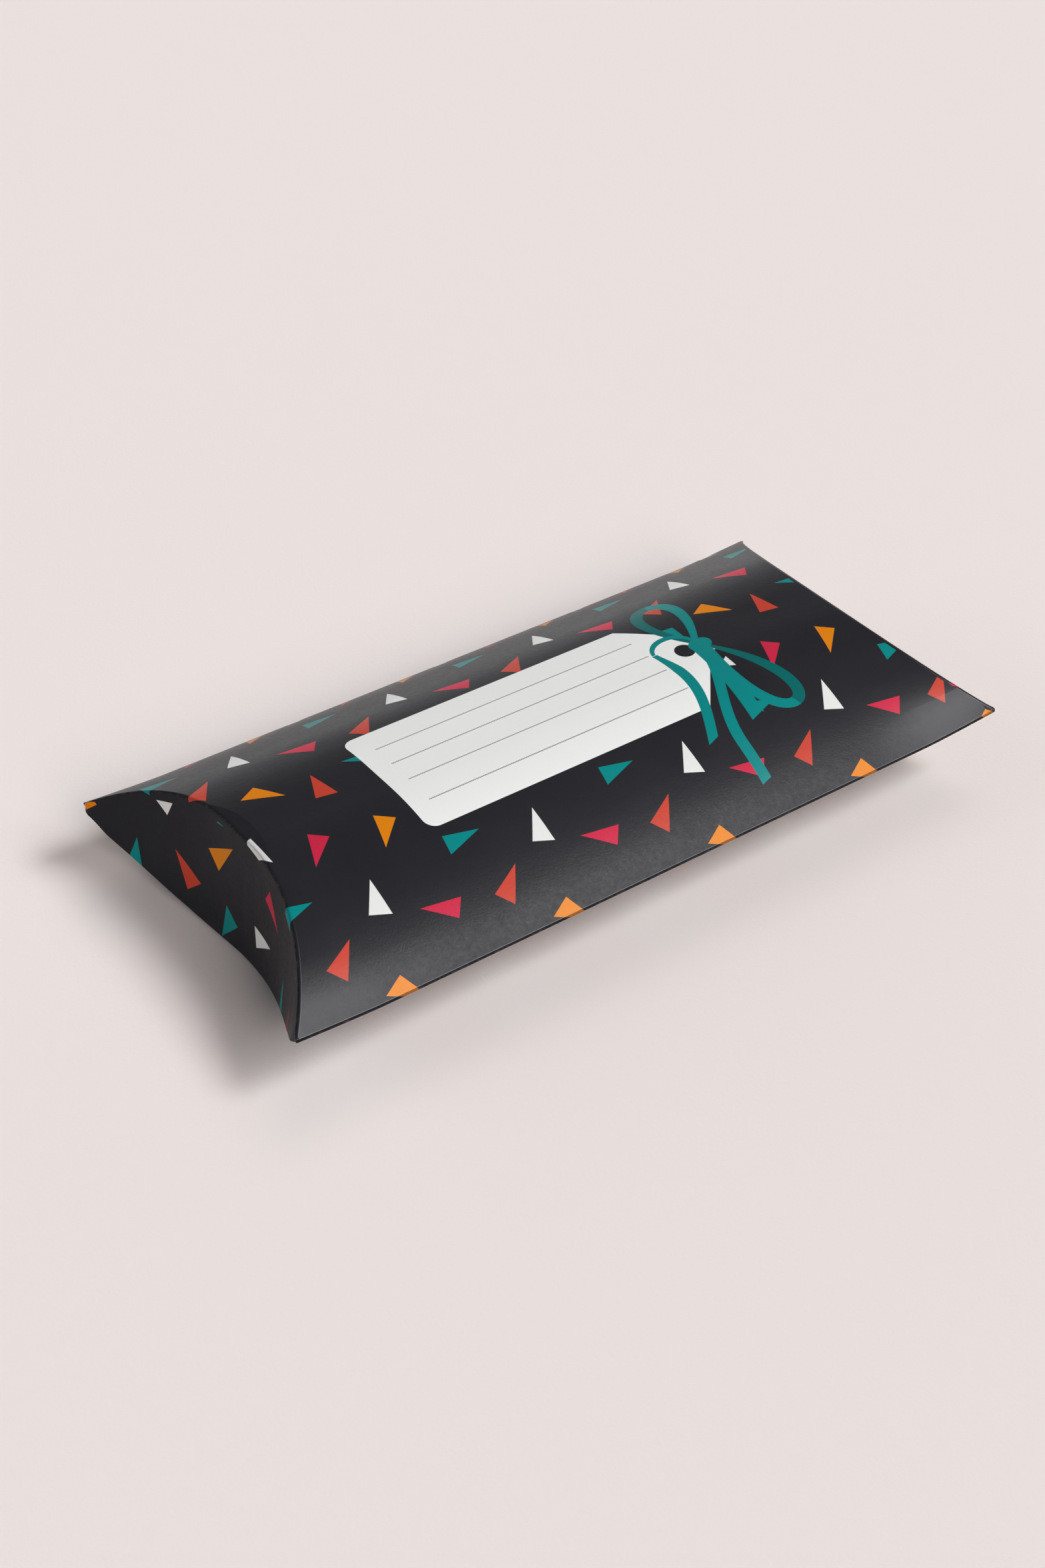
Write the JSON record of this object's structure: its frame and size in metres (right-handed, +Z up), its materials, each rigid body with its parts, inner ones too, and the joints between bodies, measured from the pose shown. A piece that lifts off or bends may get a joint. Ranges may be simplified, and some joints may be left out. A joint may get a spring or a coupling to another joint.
{
  "type": "pillow box",
  "caption": "Folded card pillow box with two bulging panels, curved-crease end flaps that open, a glued back seam and a printed confetti and gift tag pattern.",
  "frame": {"origin": "on the table under the middle of the box", "axes": "+X along the length, +Y across the width towards the glued seam, +Z up"},
  "size_m": [0.328, 0.1566, 0.0554],
  "materials": {
    "printed_card": "satin",
    "inside_card": "matte",
    "glue": "satin"
  },
  "bodies": {
    "body": {"top_panel": "printed_card", "bottom_panel": "printed_card", "front_fold": "printed_card", "back_fold": "printed_card", "glue_flap": "inside_card", "glue_line": "glue"},
    "left_outer_flap_body": {"left_outer_crease": "printed_card", "left_outer_flap": "printed_card"},
    "left_inner_flap_body": {"left_inner_crease": "printed_card", "left_inner_flap": "printed_card"},
    "right_outer_flap_body": {"right_outer_crease": "printed_card", "right_outer_flap": "printed_card"},
    "right_inner_flap_body": {"right_inner_crease": "printed_card", "right_inner_flap": "printed_card"}
  },
  "joints": [
    {"name": "left_outer_fold", "type": "hinge", "parent": "body", "child": "left_outer_flap_body", "pos_m": [-0.13632, 0, 0.0554], "axis": [0, 1, 0], "range_deg": [0, 110]},
    {"name": "left_inner_fold", "type": "hinge", "parent": "body", "child": "left_inner_flap_body", "pos_m": [-0.13533, 0, 0], "axis": [0, -1, 0], "range_deg": [0, 77]},
    {"name": "right_outer_fold", "type": "hinge", "parent": "body", "child": "right_outer_flap_body", "pos_m": [0.13632, 0, 0.0554], "axis": [0, -1, 0], "range_deg": [0, 110]},
    {"name": "right_inner_fold", "type": "hinge", "parent": "body", "child": "right_inner_flap_body", "pos_m": [0.13533, 0, 0], "axis": [0, 1, 0], "range_deg": [0, 77]}
  ],
  "couplings": [
    {"joint": "left_inner_fold", "follows": "left_outer_fold", "ratio": 0.7},
    {"joint": "right_inner_fold", "follows": "right_outer_fold", "ratio": 0.7}
  ]
}
